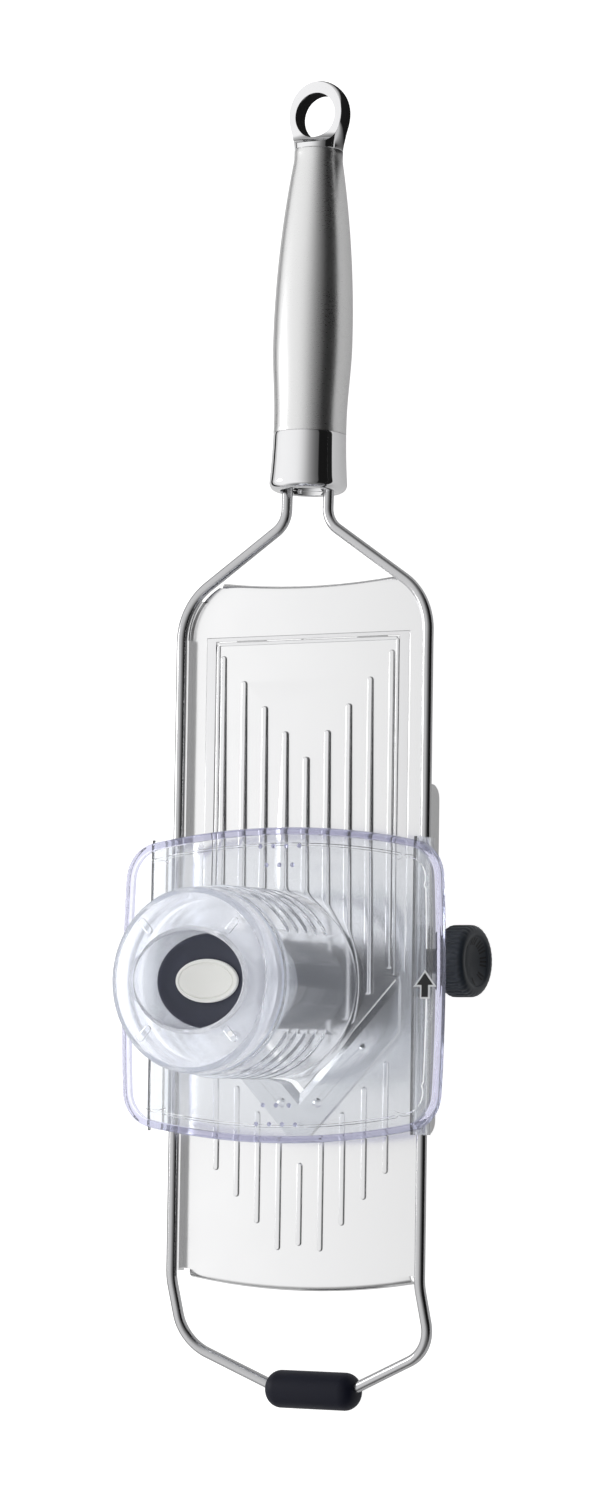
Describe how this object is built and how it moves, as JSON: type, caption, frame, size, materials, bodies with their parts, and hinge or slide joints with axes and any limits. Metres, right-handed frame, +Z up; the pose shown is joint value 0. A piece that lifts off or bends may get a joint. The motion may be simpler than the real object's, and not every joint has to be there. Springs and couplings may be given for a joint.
{
  "type": "mandoline slicer",
  "caption": "Hand-held mandoline slicer: bent wire frame with steel handle, ribbed steel bed with V blade, dial-set ramp, and a clear sliding food guard with a dark plunger",
  "frame": {"origin": "middle of the slicer's footprint, on the level surface that the foot grip lies on", "axes": "+X toward the adjusting dial, +Y from the foot to the hanging eye, +Z up, away from the bed's slicing side"},
  "size_m": [0.1152, 0.4126, 0.0837],
  "materials": {
    "wire_steel": "drawn stainless wire, bright with faint drawing lines along it",
    "polished_steel": "mirror-polished stainless steel",
    "satin_steel": "fine satin stainless steel, brushed round the handle",
    "bed_steel": "cold-rolled stainless sheet with a soft bright surface",
    "blade_steel": "ground and honed stainless steel",
    "dark_plastic": "dark blue-grey moulded plastic with a fine grain",
    "grip_rubber": "near-black rubber with a soft sheen",
    "clear_plastic": "clear polycarbonate with a very faint violet-blue tint",
    "frosted_plastic": "clear polycarbonate, lightly frosted on top",
    "pusher_plastic": "dark grey moulded plastic",
    "soft_insert": "dark grey soft-touch elastomer",
    "badge_plastic": "warm white plastic with a plain engraved oval line",
    "black_print": "black raised print"
  },
  "bodies": {
    "frame": {"frame_wire": "wire_steel", "foot_grip": "grip_rubber", "ferrule": "polished_steel", "handle_body": "satin_steel", "hanging_eye": "polished_steel", "bed": "bed_steel", "v_blade": "blade_steel", "blade_rivets": "blade_steel", "side_plate_left": "bed_steel", "side_plate_right": "bed_steel", "shaft_bush_left": "dark_plastic", "shaft_bush_right": "dark_plastic", "friction_washer": "wire_steel", "hinge_lugs": "bed_steel", "hinge_pin": "wire_steel"},
    "ramp": {"infeed_ramp": "bed_steel", "ramp_knuckles": "bed_steel", "ramp_wear_pads": "dark_plastic", "ramp_spring": "wire_steel"},
    "adjuster": {"cam_shaft": "wire_steel", "shaft_clip": "wire_steel", "dial_knob": "dark_plastic", "dial_grub_screw": "wire_steel"},
    "guard": {"guard_shell": "clear_plastic", "guard_cap": "frosted_plastic", "cap_screw": "polished_steel", "direction_arrow": "black_print"},
    "pusher": {"pusher_stem": "pusher_plastic", "pusher_top": "soft_insert", "pusher_badge": "badge_plastic", "spike_plate": "pusher_plastic", "food_spikes": "blade_steel", "pusher_screw": "wire_steel"}
  },
  "joints": [
    {"name": "guard_slide", "type": "slide", "parent": "frame", "child": "guard", "axis": [0, 1, 0], "range_m": [-0.04, 0.058]},
    {"name": "pusher_slide", "type": "slide", "parent": "guard", "child": "pusher", "axis": [0, 0, 1], "range_m": [0, 0.025]},
    {"name": "dial_turn", "type": "hinge", "parent": "frame", "child": "adjuster", "pos_m": [-0.001, -0.06857, 0.01134], "axis": [1, 0, 0], "range_deg": [-170, 100]},
    {"name": "ramp_tilt", "type": "hinge", "parent": "frame", "child": "ramp", "pos_m": [-0.001, 0.02963, 0.01334], "axis": [1, 0, 0], "range_deg": [-0.69, 0.41]}
  ],
  "couplings": [
    {"joint": "ramp_tilt", "follows": "dial_turn", "ratio": 0.004}
  ]
}
